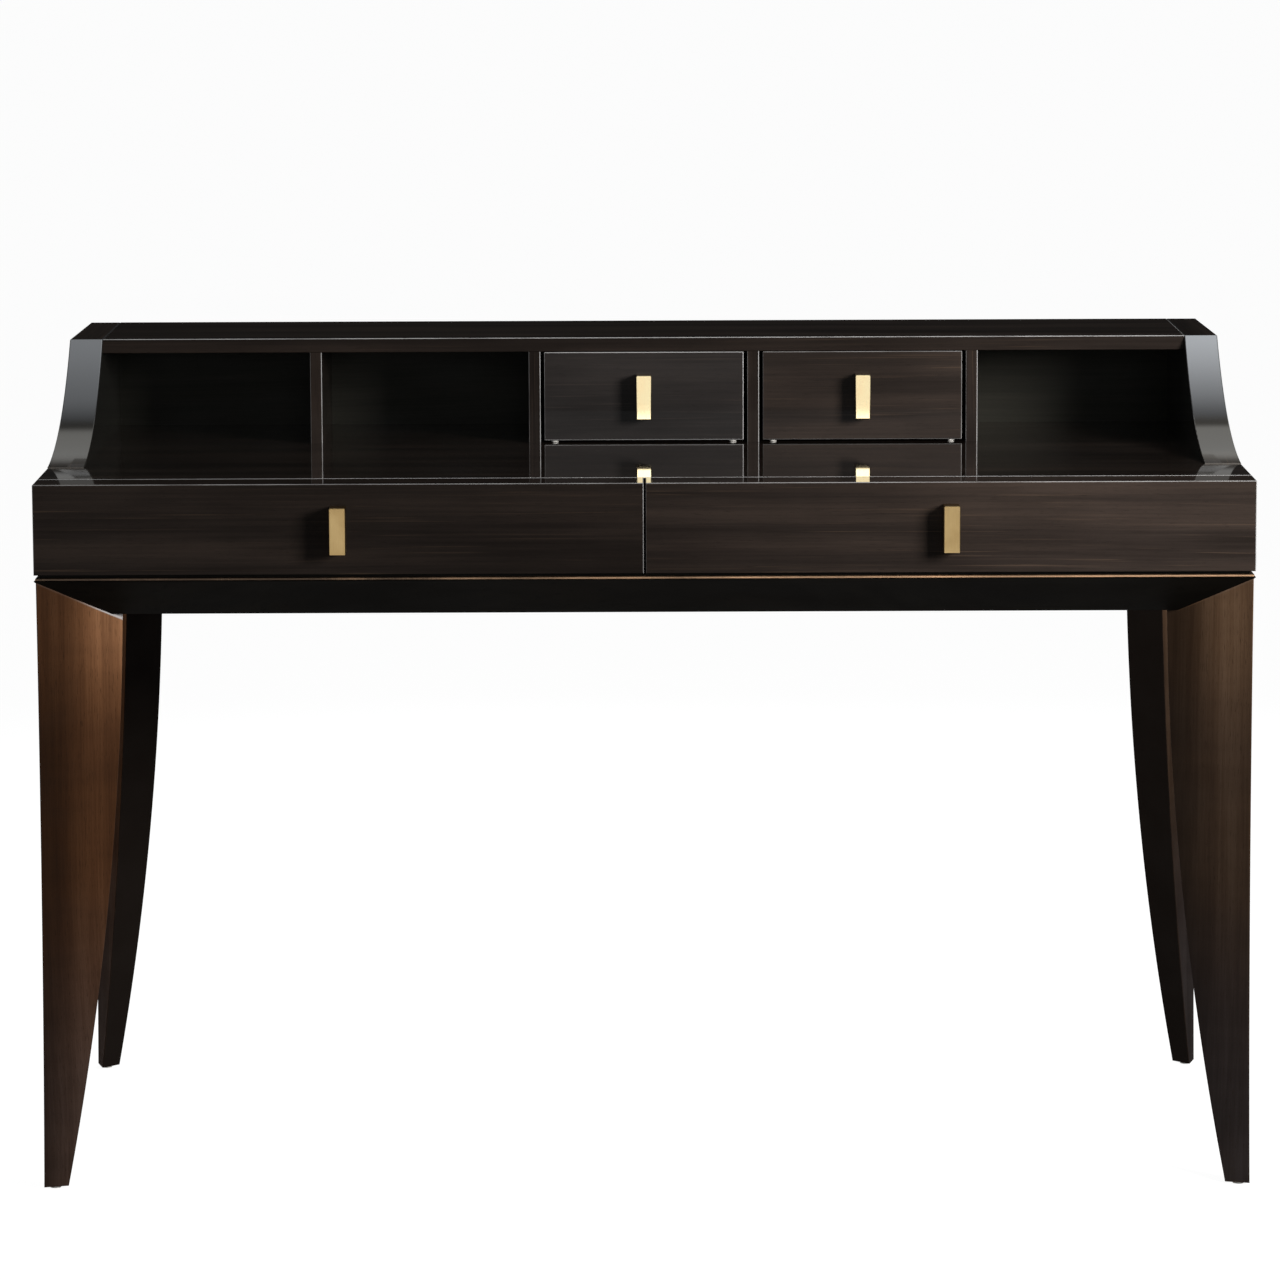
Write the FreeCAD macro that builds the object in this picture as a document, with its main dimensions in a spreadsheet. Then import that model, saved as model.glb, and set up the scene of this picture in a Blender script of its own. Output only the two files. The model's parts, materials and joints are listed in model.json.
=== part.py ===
import FreeCAD, Part
import math
import os
import re
import Sketcher

# Writing desk with a low gallery. Millimetres, +Z up, front towards -Y, +X to the sitter's right.
# The origin is the middle of the desk's footprint on the floor.

Vector = FreeCAD.Vector
DIVIDERS = 4

# Driving sizes: name, value, meaning
SIZES = [
    ("case_width", 1300, "width over the case sides"),
    ("case_depth", 620, "drawer front face to the back of the case"),
    ("desk_height", 765, "writing surface above the floor"),
    ("case_height", 97, "height of the case, also of the wide drawer fronts"),
    ("top_thick", 22, "desktop board"),
    ("side_thick", 20, "case side boards"),
    ("bottom_thick", 12, "case bottom board"),
    ("back_thick", 16, "case back board"),
    ("partition_thick", 20, "board between the wide drawers"),
    ("reveal", 1.5, "gap between a drawer front and the case behind it"),
    ("split_gap", 2, "gap between the two wide drawer fronts"),
    ("edge_round", 1, "softened edge of a visible board"),
    ("shadow_gap", 3, "height of the dark gap under the case"),
    ("shadow_recess", 6, "depth of the dark gap under the case"),
    ("bead_height", 3.5, "bronze bead"),
    ("bead_width", 14, "bronze bead, most of it held under the base board"),
    ("bead_inset", 1.5, "bead's face behind the case's face"),
    ("bead_round", 1.4, "rounding of the bead's outer edges"),
    ("apron_drop", 41, "height of the bevelled apron"),
    ("apron_recess", 45, "how far the apron slopes inwards"),
    ("apron_width", 55, "apron from the case's face to its inner face"),
    ("block_size", 90, "corner block along each apron"),
    ("bolt_margin", 1, "leg bolt's washer to the aprons"),
    ("bolt_diameter", 8, "leg bolt"),
    ("bolt_depth", 45, "leg bolt's length in the leg"),
    ("bolt_play", 0.2, "clearance round the leg bolt"),
    ("nut_across", 13, "leg bolt's nut across its flats"),
    ("nut_height", 6.5, "leg bolt's nut"),
    ("washer_diameter", 20, "leg bolt's washer"),
    ("washer_thick", 1.6, "leg bolt's washer"),
    ("nut_sink", 12, "depth of the pocket for nut and washer"),
    ("glide_height", 2, "pad under each foot"),
    ("glide_diameter", 12, "pad under each foot"),
    ("foot_flare", 1.2, "outer edge of a leg outside the case, at the foot"),
    ("leg_inset", 0.6, "outer edge of a leg inside the case, at the top"),
    ("leg_bow", 1.3, "hollow of the outer edge at half height"),
    ("foot_face", 27, "reach of a leg's face along the desk, at the foot"),
    ("leg_face", 89.8, "reach of a leg's face along the desk, at the top"),
    ("leg_swell", 14.1, "swelling of that reach at half height"),
    ("foot_turn", 8, "how far a leg's face turns inwards, at the foot"),
    ("leg_turn", 52, "how far a leg's face turns inwards, at the top"),
    ("turn_swell", 7, "swelling of that turn at half height"),
    ("leg_edge", 0.8, "softened long edges of a leg"),
    ("gallery_height", 119, "gallery above the writing surface"),
    ("gallery_setback", 400, "gallery's front behind the drawer fronts"),
    ("panel_thick", 40, "gallery side panel"),
    ("panel_reach", 160, "toe of the side panel behind the drawer fronts"),
    ("panel_hollow", 24, "depth of the side panel's concave sweep"),
    ("panel_toe", 1, "height of the side panel's toe"),
    ("panel_taper", 6, "side panel's outer face set in at the back"),
    ("shelf_thick", 16, "gallery shelf"),
    ("gallery_back_thick", 12, "gallery back"),
    ("divider_thick", 13.5, "gallery divider"),
    ("dowel_diameter", 8, "gallery dowels"),
    ("dowel_reach", 12, "half of a dowel's length"),
    ("dowel_play", 0.1, "clearance round a dowel and at its ends"),
    ("dowel_margin", 40, "dowels from the gallery's front and back"),
    ("drawer_front_thick", 50, "wide drawer front"),
    ("drawer_side_thick", 14, "wide drawer side"),
    ("drawer_side_height", 50, "wide drawer side"),
    ("drawer_back_thick", 12, "wide drawer back"),
    ("drawer_bottom_thick", 6, "wide drawer bottom"),
    ("drawer_bottom_lift", 8, "underside of the side to the bottom"),
    ("drawer_back_gap", 82, "closed wide drawer to the case back"),
    ("drawer_housing", 10, "depth of the slots in the wide drawer front"),
    ("drawer_gap", 2.5, "wide drawer side to the case"),
    ("drawer_lift", 3, "wide drawer box above the case bottom"),
    ("groove_height", 12, "runner groove in a wide drawer side"),
    ("groove_depth", 7, "runner groove in a wide drawer side"),
    ("groove_lift", 24, "runner groove above the side's underside"),
    ("runner_play", 0.3, "clearance between runner and groove"),
    ("runner_setback", 10, "runner's front end behind the case's front edge"),
    ("small_front_thick", 16, "gallery drawer front"),
    ("small_side_thick", 9, "gallery drawer side"),
    ("small_side_height", 80, "gallery drawer side"),
    ("small_back_thick", 9, "gallery drawer back"),
    ("small_bottom_thick", 4, "gallery drawer bottom"),
    ("small_bottom_lift", 5, "underside of the side to the bottom"),
    ("small_back_gap", 8, "closed gallery drawer to the gallery back"),
    ("small_housing", 6, "depth of the slots in the gallery drawer front"),
    ("small_front_gap", 4, "gallery drawer front to the dividers"),
    ("small_gap", 5.5, "gallery drawer side to the dividers"),
    ("small_lift", 2.5, "gallery drawer above the writing surface"),
    ("small_top_gap", 0.6, "gallery drawer front to the shelf"),
    ("button_diameter", 8, "glide button under a gallery drawer"),
    ("button_margin", 12, "glide button from the end of its front"),
    ("button_play", 0.3, "glide button above the writing surface"),
    ("pull_width", 17, "brass pull"),
    ("pull_height", 50, "brass pull"),
    ("pull_depth", 22, "brass pull, out from its drawer front"),
    ("pull_round", 1, "softened edges of the pull"),
    ("screw_diameter", 4, "pull screw"),
    ("screw_play", 0.2, "clearance round a pull screw"),
    ("screw_grip", 12, "wood between the pull and the screw's head"),
    ("screw_reach", 12, "pull screw's length in the pull"),
    ("screw_head", 8, "pull screw's head"),
    ("screw_head_thick", 2.4, "pull screw's head"),
    ("screw_spread", 30, "distance between a pull's two screws"),
]

# Places worked out from the driving sizes
LEVELS = [
    ("half_width", "case_width / 2"),
    ("front_y", "(pull_depth - case_depth - foot_flare) / 2"),
    ("back_y", "front_y + case_depth"),
    ("middle_y", "front_y + case_depth / 2"),
    ("body_y", "front_y + drawer_front_thick + reveal"),
    ("inner_back_y", "back_y - back_thick"),
    ("case_z", "desk_height - case_height"),
    ("floor_z", "case_z + bottom_thick"),
    ("deck_z", "desk_height - top_thick"),
    ("bead_top_z", "case_z - shadow_gap"),
    ("apron_top_z", "bead_top_z - bead_height"),
    ("apron_low_z", "apron_top_z - apron_drop"),
    ("bolt_inset", "apron_width + washer_diameter / 2 + bolt_margin"),
    ("gallery_y", "front_y + gallery_setback"),
    ("gallery_back_y", "back_y - gallery_back_thick"),
    ("gallery_top_z", "desk_height + gallery_height"),
    ("shelf_z", "gallery_top_z - shelf_thick"),
    ("panel_x", "half_width - panel_thick"),
    ("bay_width", f"(2 * panel_x - {DIVIDERS} * divider_thick) / {DIVIDERS + 1}"),
    ("bay_step", "bay_width + divider_thick"),
    ("drawer_z", "floor_z + drawer_lift"),
    ("drawer_length", "case_depth - back_thick - drawer_front_thick - drawer_back_gap"),
    ("small_z", "desk_height + small_lift"),
    ("small_length", "gallery_back_y - gallery_y - small_front_thick - small_back_gap"),
]

CORNERS = [("front_left", -1, -1), ("front_right", 1, -1), ("rear_left", -1, 1), ("rear_right", 1, 1)]
LEG_SECTIONS = 5
# Two positions nearer than this are the same place
NEAR = 0.01

doc = FreeCAD.newDocument("writing_desk")
sheet = doc.addObject("Spreadsheet::Sheet", "Sizes")
for row, (name, number, meaning) in enumerate(SIZES, 1):
    sheet.set(f"A{row}", name)
    sheet.set(f"B{row}", str(number))
    sheet.set(f"C{row}", meaning)
    sheet.setAlias(f"B{row}", name)
doc.recompute()

OWNERS = {name: "Sizes" for name, number, meaning in SIZES}
OWNERS.update({name: "Levels" for name, rule in LEVELS})


def bind(rule):
    """Puts the owner's name before each size or level in a rule, as an expression needs it."""
    return re.sub(r"[a-z_]+", lambda found: f"{OWNERS[found[0]]}.{found[0]}" if found[0] in OWNERS else found[0], rule)


levels = doc.addObject("App::VarSet", "Levels")
for name, rule in LEVELS:
    levels.addProperty("App::PropertyFloat", name, "Levels")
    levels.setExpression(name, bind(rule))
doc.recompute()

nodes = []


def node(piece):
    """Keeps a finished sub-part for the checks and the export."""
    nodes.append(piece)
    return piece


def place(piece, x, y, z):
    """Binds a piece's position to three rules."""
    for axis, rule in zip("xyz", (x, y, z)):
        piece.setExpression(f"Placement.Base.{axis}", bind(rule))


def board(label, x, y, z):
    """A plain board between two rules on each axis."""
    box = doc.addObject("Part::Box", label)
    for side, (low, high) in zip(("Length", "Width", "Height"), (x, y, z)):
        box.setExpression(side, bind(f"({high}) - ({low})"))
    place(box, x[0], y[0], z[0])
    return box


def round_bar(label, diameter, length, start, along):
    """A round bar from a starting point, along an axis."""
    bar = doc.addObject("Part::Cylinder", label)
    bar.setExpression("Radius", bind(f"({diameter}) / 2"))
    bar.setExpression("Height", bind(length))
    bar.Placement = FreeCAD.Placement(Vector(), FreeCAD.Rotation(Vector(0, 0, 1), Vector(*along)))
    place(bar, *start)
    return bar


def fuse(label, pieces):
    """Several solids as one."""
    whole = doc.addObject("Part::MultiFuse", label)
    whole.Shapes = pieces
    return whole


def group(label, pieces):
    """Several separate solids in one sub-part."""
    whole = doc.addObject("Part::Compound", label)
    whole.Links = pieces
    return whole


def cut(label, base, tools):
    """A piece with one or more tools taken out of it."""
    rest = doc.addObject("Part::Cut", label)
    rest.Base = base
    rest.Tool = tools[0] if len(tools) == 1 else fuse(f"{label}_tools", tools)
    return rest


def soften(label, base, radius, chosen):
    """A piece with its chosen edges rounded. chosen tells from an edge's box whether it is rounded."""
    doc.recompute()
    size = getattr(sheet, radius)
    softened = doc.addObject("Part::Fillet", label)
    softened.Base = base
    softened.Edges = [
        (number, size, size) for number, edge in enumerate(base.Shape.Edges, 1) if chosen(edge.BoundBox)
    ]
    return softened


def on_front_or_top(shape_box):
    """Chooses the edges round a board's front face and its top face."""
    return lambda edge: edge.YMax < shape_box.YMin + NEAR or edge.ZMin > shape_box.ZMax - NEAR


def box_of(piece):
    """A piece's box, once it is built."""
    doc.recompute()
    return piece.Shape.BoundBox


def origin_plane(body, role):
    """One of a body's own origin planes."""
    return [plane for plane in body.Origin.OriginFeatures if plane.Role == role][0]


def new_sketch(body, label, role, lift):
    """An empty sketch on one of a body's origin planes, lifted off it by a rule."""
    sketch = body.newObject("Sketcher::SketchObject", label)
    sketch.AttachmentSupport = [(origin_plane(body, role), "")]
    sketch.MapMode = "FlatFace"
    sketch.setExpression("AttachmentOffset.Base.z", bind(lift))
    return sketch


def tie(sketch, line, end, x, y):
    """Ties one end of a sketched line to two rules, measured from the sketch's origin."""
    for kind, rule in (("DistanceX", x), ("DistanceY", y)):
        number = sketch.addConstraint(Sketcher.Constraint(kind, -1, 1, line, end, 1))
        sketch.setExpression(f"Constraints[{number}]", bind(rule))


def polygon(body, label, corners, lift):
    """A closed outline on the body's XY plane, its corners given by rules."""
    sketch = new_sketch(body, label, "XY_Plane", lift)
    count = len(corners)
    turns = [2 * math.pi * number / count for number in range(count)]
    points = [Vector(math.cos(turn), math.sin(turn), 0) for turn in turns]
    for number in range(count):
        sketch.addGeometry(Part.LineSegment(points[number], points[(number + 1) % count]))
    for number in range(count):
        sketch.addConstraint(Sketcher.Constraint("Coincident", number, 2, (number + 1) % count, 1))
    for number, (x, y) in enumerate(corners):
        tie(sketch, number, 1, x, y)
    return sketch


def loft(body, label, sketches, kind="PartDesign::AdditiveLoft", ruled=False):
    """A loft through sketches, added to the body or taken out of it."""
    feature = body.newObject(kind, label)
    feature.Profile = sketches[0]
    feature.Sections = sketches[1:]
    feature.Ruled = ruled
    return feature


def pad(body, label, sketch, length):
    """A sketch drawn out to a length."""
    feature = body.newObject("PartDesign::Pad", label)
    feature.Profile = sketch
    feature.setExpression("Length", bind(length))
    return feature


def new_body(label, x="0", y="0", z="0", turn=0):
    """An empty body, placed by rules and turned about the vertical."""
    body = doc.addObject("PartDesign::Body", label)
    body.Placement = FreeCAD.Placement(Vector(), FreeCAD.Rotation(Vector(0, 0, 1), turn))
    place(body, x, y, z)
    return body


def corner_place(side_x, side_y, inset):
    """Rules for a point set in from one of the case's corners."""
    return f"{side_x} * (half_width - ({inset}))", f"middle_y + {side_y} * (case_depth / 2 - ({inset}))"


def divider_left(number):
    """Rule for the left face of a divider, counted from 1 at the left."""
    return f"{number} * bay_step - divider_thick - panel_x"


def build_uprights():
    """The gallery's side panels and dividers, with the middle of each one's thickness."""
    uprights = []
    for name, side in (("left", -1), ("right", 1)):
        uprights.append((gallery_panel(f"gallery_side_{name}", side), f"{side} * (half_width - panel_thick / 2)"))
    for number in range(1, DIVIDERS + 1):
        left = divider_left(number)
        blank = board(
            f"divider_{number}_blank", (left, f"{left} + divider_thick"), ("gallery_y", "gallery_back_y"),
            ("desk_height", "shelf_z"),
        )
        eased = soften(f"divider_{number}_eased", blank, "edge_round", upright_front(blank))
        uprights.append((eased, f"{left} + divider_thick / 2"))
    return uprights


def upright_front(blank):
    """Chooses the two upright edges of a board's front."""
    box = box_of(blank)
    return lambda edge: edge.YMax < box.YMin + NEAR and edge.ZLength > box.ZLength / 2


def gallery_panel(label, side):
    """A side panel with a concave swept front. Its sketch starts at the panel's lower back corner."""
    left = "-half_width" if side < 0 else "panel_x"
    body = new_body(f"{label}_body", left, "back_y", "desk_height")
    sketch = new_sketch(body, f"{label}_outline", "YZ_Plane", "0")
    depth = sheet.case_depth
    toe = Vector(sheet.panel_reach - depth, sheet.panel_toe, 0)
    crest = Vector(sheet.gallery_setback - depth, sheet.gallery_height, 0)
    chord = crest.sub(toe)
    inward = Vector(chord.y, -chord.x, 0).normalize()
    deepest = toe.add(chord.multiply(0.5)).add(inward.multiply(sheet.panel_hollow))
    foot = Vector(toe.x, 0, 0)
    back_top = Vector(0, crest.y, 0)
    sketch.addGeometry(Part.Arc(toe, deepest, crest))
    outline = [crest, back_top, Vector(), foot, toe]
    for start, end in zip(outline, outline[1:]):
        sketch.addGeometry(Part.LineSegment(start, end))
    count = len(outline)
    for number in range(count):
        sketch.addConstraint(Sketcher.Constraint("Coincident", number, 2, (number + 1) % count, 1))
    reach = "panel_reach - case_depth"
    run = "(gallery_setback - panel_reach)"
    rise = "(gallery_height - panel_toe)"
    tie(sketch, 1, 1, "gallery_setback - case_depth", "gallery_height")
    tie(sketch, 2, 1, "0", "gallery_height")
    tie(sketch, 3, 1, "0", "0")
    tie(sketch, 4, 1, reach, "0")
    tie(sketch, 0, 1, reach, "panel_toe")
    number = sketch.addConstraint(Sketcher.Constraint("Radius", 0, sketch.Geometry[0].Radius))
    chord_square = f"({run} * {run} + {rise} * {rise})"
    sketch.setExpression(f"Constraints[{number}]", bind(f"{chord_square} / (8 * panel_hollow) + panel_hollow / 2"))
    pad(body, f"{label}_pad", sketch, "panel_thick")
    taper_panel(body, label, side)
    box = box_of(body)
    return soften(f"{label}_eased", body, "edge_round", lambda edge: is_sweep_edge(edge, box))


def taper_panel(body, label, side):
    """Cuts a side panel's outer face to run inwards from the toe to the back."""
    reach = "panel_reach - case_depth"
    slope = "panel_taper / (case_depth - panel_reach)"
    wedge = [
        ("-panel_taper", f"{reach} - panel_taper"),
        (f"-panel_taper * {slope}", f"{reach} - panel_taper"),
        (f"panel_taper + panel_taper * {slope}", "panel_taper"),
        ("-panel_taper", "panel_taper"),
    ]
    if side > 0:
        wedge = [(f"panel_thick - ({x})", y) for x, y in wedge]
    plans = []
    for name, lift in (("low", "-panel_taper"), ("high", "gallery_height + panel_taper")):
        plans.append(polygon(body, f"{label}_taper_{name}", wedge, lift))
    loft(body, f"{label}_taper", plans, kind="PartDesign::SubtractiveLoft", ruled=True)


def is_sweep_edge(edge, box):
    """Chooses the two long edges of a panel's swept front and the edges round its top."""
    swept = edge.YLength > NEAR and edge.ZLength > box.ZLength / 2
    return swept or edge.ZMin > box.ZMax - NEAR


def build_gallery():
    """Side panels, dividers, shelf and back, doweled to the desktop. Gives back the desktop's dowel holes."""
    dowels = []
    top_holes = []
    shelf_holes = []
    dowel_rows = ("gallery_y + dowel_margin", "back_y - dowel_margin")
    for upright, middle in build_uprights():
        name = upright.Label.replace("_eased", "")
        own_holes = []
        for row, y in enumerate(dowel_rows):
            label = f"{name}_dowel_{row}"
            start = (middle, y, "desk_height - dowel_reach")
            dowels.append(round_bar(label, "dowel_diameter", "2 * dowel_reach", start, (0, 0, 1)))
            wide = (middle, y, "desk_height - dowel_reach - dowel_play")
            size = "dowel_diameter + 2 * dowel_play"
            length = "2 * dowel_reach + 2 * dowel_play"
            own_holes.append(round_bar(f"{label}_hole", size, length, wide, (0, 0, 1)))
        top_holes += own_holes
        if name.startswith("gallery_side"):
            side = -1 if name.endswith("left") else 1
            for row, y in enumerate(dowel_rows):
                label = f"{name}_shelf_dowel_{row}"
                z = "shelf_z + shelf_thick / 2"
                start = (f"{side} * (panel_x - dowel_reach)", y, z)
                dowels.append(round_bar(label, "dowel_diameter", "2 * dowel_reach", start, (side, 0, 0)))
                wide = (f"{side} * (panel_x - dowel_reach - dowel_play)", y, z)
                hole = round_bar(f"{label}_hole", size, length, wide, (side, 0, 0))
                own_holes.append(hole)
                shelf_holes.append(hole)
        node(cut(name, upright, own_holes))
    blank = board("gallery_shelf_blank", ("-panel_x", "panel_x"), ("gallery_y", "back_y"), ("shelf_z", "gallery_top_z"))
    box = box_of(blank)
    eased = soften("gallery_shelf_eased", blank, "edge_round", lambda edge: is_shelf_edge(edge, box))
    node(cut("gallery_shelf", eased, shelf_holes))
    node(board("gallery_back", ("-panel_x", "panel_x"), ("gallery_back_y", "back_y"), ("desk_height", "shelf_z")))
    node(group("gallery_dowels", dowels))
    return top_holes


def is_shelf_edge(edge, box):
    """Chooses the two long edges of the shelf's front and the top edges of its ends."""
    front = edge.YMax < box.YMin + NEAR and edge.XLength > box.XLength / 2
    ends = edge.ZMin > box.ZMax - NEAR and edge.YLength > box.YLength / 2
    return front or ends


def build_case(top_holes):
    """Desktop, sides, back, bottom, partition and the wide drawers' runners."""
    blank = board("desktop_blank", ("-half_width", "half_width"), ("body_y", "back_y"), ("deck_z", "desk_height"))
    eased = soften("desktop_eased", blank, "edge_round", on_front_or_top(box_of(blank)))
    node(cut("desktop", eased, top_holes))
    depth = ("body_y", "back_y")
    inner_depth = ("body_y", "inner_back_y")
    inner_width = ("side_thick - half_width", "half_width - side_thick")
    node(board("case_side_left", ("-half_width", "side_thick - half_width"), depth, ("case_z", "deck_z")))
    node(board("case_side_right", ("half_width - side_thick", "half_width"), depth, ("case_z", "deck_z")))
    node(board("case_back", inner_width, ("inner_back_y", "back_y"), ("case_z", "deck_z")))
    node(board("case_bottom", inner_width, inner_depth, ("case_z", "floor_z")))
    half_partition = "partition_thick / 2"
    node(board("case_partition", (f"-{half_partition}", half_partition), inner_depth, ("floor_z", "deck_z")))
    runners = []
    reach = "(drawer_gap + groove_depth - runner_play)"
    groove_z = "drawer_z + groove_lift"
    side_face = "half_width - side_thick"
    for name, low, high in (
        ("left_outer", f"-({side_face})", f"-({side_face}) + {reach}"),
        ("left_inner", f"-{half_partition} - {reach}", f"-{half_partition}"),
        ("right_inner", half_partition, f"{half_partition} + {reach}"),
        ("right_outer", f"{side_face} - {reach}", side_face),
    ):
        runners.append(board(
            f"runner_{name}", (low, high), ("body_y + runner_setback", "inner_back_y"),
            (f"{groove_z} + runner_play", f"{groove_z} + groove_height - runner_play"),
        ))
    node(group("drawer_runners", runners))


def ring_piece(body, label, along, across, outer, inner, lift):
    """Plan of one mitred side of a frame, between two insets from the case's faces."""
    corners = [
        (f"-({along} - ({outer}))", f"({outer}) - {across}"),
        (f"{along} - ({outer})", f"({outer}) - {across}"),
        (f"{along} - ({inner})", f"({inner}) - {across}"),
        (f"-({along} - ({inner}))", f"({inner}) - {across}"),
    ]
    return polygon(body, label, corners, lift)


def build_stand():
    """Base board, bronze bead, bevelled apron, corner blocks with bolts, legs and foot glides."""
    upper = board(
        "base_board_upper", ("shadow_recess - half_width", "half_width - shadow_recess"),
        ("front_y + shadow_recess", "back_y - shadow_recess"), ("bead_top_z", "case_z"),
    )
    rebate = "(bead_inset + bead_width)"
    lower = board(
        "base_board_lower", (f"{rebate} - half_width", f"half_width - {rebate}"),
        (f"front_y + {rebate}", f"back_y - {rebate}"), ("apron_top_z", "bead_top_z"),
    )
    node(fuse("base_board", [upper, lower]))

    strips = []
    half_depth = "case_depth / 2"
    for name, along, across, turn in (
        ("front", "half_width", half_depth, 0),
        ("right", half_depth, "half_width", 90),
        ("back", "half_width", half_depth, 180),
        ("left", half_depth, "half_width", 270),
    ):
        rail = new_body(f"apron_{name}", "0", "middle_y", "apron_low_z", turn)
        foot = ring_piece(rail, f"apron_{name}_foot", along, across, "apron_recess", "apron_width", "0")
        head = ring_piece(rail, f"apron_{name}_head", along, across, "0", "apron_width", "apron_drop")
        loft(rail, f"apron_{name}_loft", [foot, head], ruled=True)
        node(rail)
        strip = new_body(f"bead_{name}", "0", "middle_y", "apron_top_z", turn)
        plan = ring_piece(strip, f"bead_{name}_plan", along, across, "bead_inset", "bead_inset + bead_width", "0")
        pad(strip, f"bead_{name}_pad", plan, "bead_height")
        strips.append(soften(f"bead_{name}_eased", strip, "bead_round", bead_face(box_of(strip), name)))
    node(group("bead", strips))

    blocks = []
    bolts = []
    glides = []
    foot_middle = "(foot_face + foot_turn) / 3 - foot_flare"
    for name, side_x, side_y in CORNERS:
        blocks.append(corner_block(name, side_x, side_y))
        bolts.append(leg_bolt(name, side_x, side_y))
        x, y = corner_place(side_x, side_y, foot_middle)
        glides.append(round_bar(f"glide_{name}", "glide_diameter", "glide_height", (x, y, "0"), (0, 0, 1)))
    node(group("corner_blocks", blocks))
    node(group("leg_bolts", bolts))
    node(group("foot_glides", glides))
    build_legs()


def bead_face(box, name):
    """Chooses the two long outer edges of a bead strip."""
    faces = {
        "front": lambda edge: edge.YMax < box.YMin + NEAR,
        "back": lambda edge: edge.YMin > box.YMax - NEAR,
        "left": lambda edge: edge.XMax < box.XMin + NEAR,
        "right": lambda edge: edge.XMin > box.XMax - NEAR,
    }
    on_face = faces[name]
    return lambda edge: on_face(edge) and edge.ZLength < NEAR


def corner_block(name, side_x, side_y):
    """Three-cornered block between two aprons, bored for the leg bolt."""
    label = f"corner_block_{name}"
    x, y = corner_place(side_x, side_y, "apron_width")
    body = new_body(f"{label}_body", x, y, "apron_low_z")
    corners = [("0", "0"), (f"{-side_x} * block_size", "0"), ("0", f"{-side_y} * block_size")]
    pad(body, f"{label}_pad", polygon(body, f"{label}_plan", corners, "0"), "apron_drop")
    x, y = corner_place(side_x, side_y, "bolt_inset")
    bore = round_bar(
        f"{label}_bore", "bolt_diameter + 2 * bolt_play", "apron_drop", (x, y, "apron_low_z"), (0, 0, 1)
    )
    pocket = round_bar(
        f"{label}_pocket", "washer_diameter + 2 * bolt_play", "nut_sink", (x, y, "apron_top_z - nut_sink"), (0, 0, 1)
    )
    return cut(label, body, [bore, pocket])


def leg_bolt(name, side_x, side_y):
    """Hanger bolt with washer and nut, from the leg up into the corner block's pocket."""
    label = f"leg_bolt_{name}"
    x, y = corner_place(side_x, side_y, "bolt_inset")
    seat = "apron_top_z - nut_sink"
    start = "apron_low_z - bolt_depth"
    shank = round_bar(f"{label}_shank", "bolt_diameter", f"{seat} + washer_thick + nut_height - ({start})",
                      (x, y, start), (0, 0, 1))
    washer = round_bar(f"{label}_washer", "washer_diameter", "washer_thick", (x, y, seat), (0, 0, 1))
    nut = doc.addObject("Part::Prism", f"{label}_nut")
    nut.Polygon = 6
    nut.setExpression("Circumradius", bind("nut_across / sqrt(3)"))
    nut.setExpression("Height", bind("nut_height"))
    place(nut, x, y, f"{seat} + washer_thick")
    return fuse(label, [shank, washer, nut])


def swelling(foot, head, swell, share):
    """Rule for a leg measure that runs from foot to head in a gentle curve."""
    return f"({foot} + ({head} - ({foot})) * {share} + 4 * {swell} * {share} * (1 - {share}))"


def build_legs():
    """Four three-sided sabre legs. The front left one is drawn, the others mirror it.

    A section's outer corner follows the case's corner, and its two faces turn inwards from there.
    The apron's bevel cuts the top.
    """
    first = new_body("leg_body", "-half_width", "front_y", "glide_height")
    leg_height = "(apron_top_z - glide_height)"
    sections = []
    for number in range(LEG_SECTIONS):
        share = number / (LEG_SECTIONS - 1)
        outer = swelling("-foot_flare", "leg_inset", "leg_bow", share)
        far = f"{outer} + " + swelling("foot_face", "leg_face", "leg_swell", share)
        near = f"{outer} + " + swelling("foot_turn", "leg_turn", "turn_swell", share)
        corners = [(outer, outer), (far, near), (near, far)]
        sections.append(polygon(first, f"leg_section_{number}", corners, f"{leg_height} * {share}"))
    loft(first, "leg_loft", sections)
    doc.recompute()
    whole = first.Shape.Volume
    low = "apron_low_z - glide_height"
    beyond = "apron_recess + leg_face + leg_turn"
    bevel = []
    for label, start, lift in (("foot", "apron_recess", low), ("head", "0", leg_height)):
        corners = [(start, start), (beyond, start), (beyond, beyond), (start, beyond)]
        bevel.append(polygon(first, f"leg_bevel_{label}", corners, lift))
    loft(first, "leg_bevel", bevel, kind="PartDesign::SubtractiveLoft", ruled=True)
    doc.recompute()
    if first.Shape.Volume > whole - NEAR:
        raise ValueError("the apron's bevel doesn't cut the leg")
    box = box_of(first)
    eased = soften("leg_eased", first, "leg_edge", lambda edge: edge.ZLength > box.ZLength / 2)
    x, y = corner_place(-1, -1, "bolt_inset")
    bore = round_bar(
        "leg_bore", "bolt_diameter + 2 * bolt_play", "bolt_depth + bolt_play",
        (x, y, "apron_low_z - bolt_depth - bolt_play"), (0, 0, 1),
    )
    legs = {"front_left": cut("leg_front_left", eased, [bore])}
    for name, source, normal in (
        ("front_right", "front_left", (1, 0, 0)),
        ("rear_left", "front_left", (0, 1, 0)),
        ("rear_right", "rear_left", (1, 0, 0)),
    ):
        mirrored = doc.addObject("Part::Mirroring", f"leg_{name}")
        mirrored.Source = legs[source]
        mirrored.Normal = Vector(*normal)
        mirrored.setExpression("Base.y", bind("middle_y"))
        legs[name] = mirrored
    for name, side_x, side_y in CORNERS:
        node(legs[name])


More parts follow.
